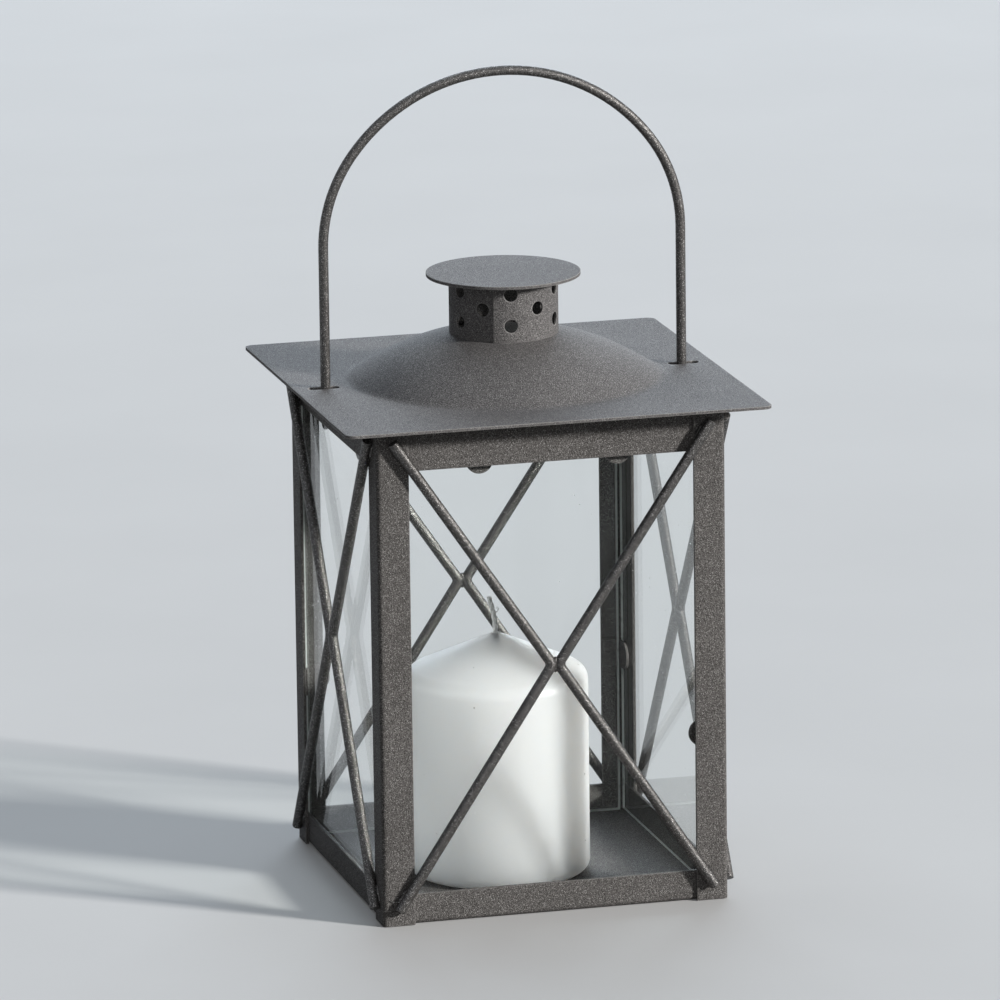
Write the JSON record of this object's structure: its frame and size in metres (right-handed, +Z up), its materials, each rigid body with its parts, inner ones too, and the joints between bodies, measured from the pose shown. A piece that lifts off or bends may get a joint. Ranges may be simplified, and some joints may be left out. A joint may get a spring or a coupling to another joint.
{
  "type": "candle lantern",
  "caption": "Square candle lantern of coated steel sheet and glass with crossed wire braces, a lift-up roof with domed vented chimney, an arched wire handle and a pillar candle inside.",
  "frame": {"origin": "centre of the lantern's plan at the ground", "axes": "+Z up, +X to the right seen from the front, front faces -Y, the handle arches along X"},
  "size_m": [0.14, 0.14, 0.2669],
  "materials": {
    "powder_coat": "dark grey fine textured powder coat with a light metallic speckle",
    "glass": "clear flat glass",
    "wax": "smooth white wax",
    "cotton": "white braided cotton"
  },
  "bodies": {
    "frame": {"base_tray": "powder_coat", "corner_post_front_right": "powder_coat", "corner_post_back_right": "powder_coat", "corner_post_back_left": "powder_coat", "corner_post_front_left": "powder_coat", "top_rail_front": "powder_coat", "top_rail_right": "powder_coat", "top_rail_back": "powder_coat", "top_rail_left": "powder_coat", "glass_pane_front": "glass", "glass_pane_right": "glass", "glass_pane_back": "glass", "glass_pane_left": "glass", "top_clips_front": "powder_coat", "top_clips_right": "powder_coat", "top_clips_back": "powder_coat", "top_clips_left": "powder_coat", "post_clip_front": "powder_coat", "post_clip_right": "powder_coat", "post_clip_back": "powder_coat", "post_clip_left": "powder_coat", "brace_wire_front_1": "powder_coat", "brace_wire_front_2": "powder_coat", "brace_wire_right_1": "powder_coat", "brace_wire_right_2": "powder_coat", "brace_wire_back_1": "powder_coat", "brace_wire_back_2": "powder_coat", "brace_wire_left_1": "powder_coat", "brace_wire_left_2": "powder_coat", "handle": "powder_coat"},
    "roof": {"roof_plate": "powder_coat", "chimney_collar": "powder_coat", "chimney_cap": "powder_coat"},
    "candle": {"candle": "wax", "wick": "cotton"}
  },
  "joints": [
    {"name": "roof_lift", "type": "slide", "parent": "frame", "child": "roof", "axis": [0, 0, 1], "range_m": [0, 0.05]},
    {"name": "candle_lift", "type": "slide", "parent": "frame", "child": "candle", "axis": [0, 0, 1], "range_m": [0, 0.05]}
  ]
}
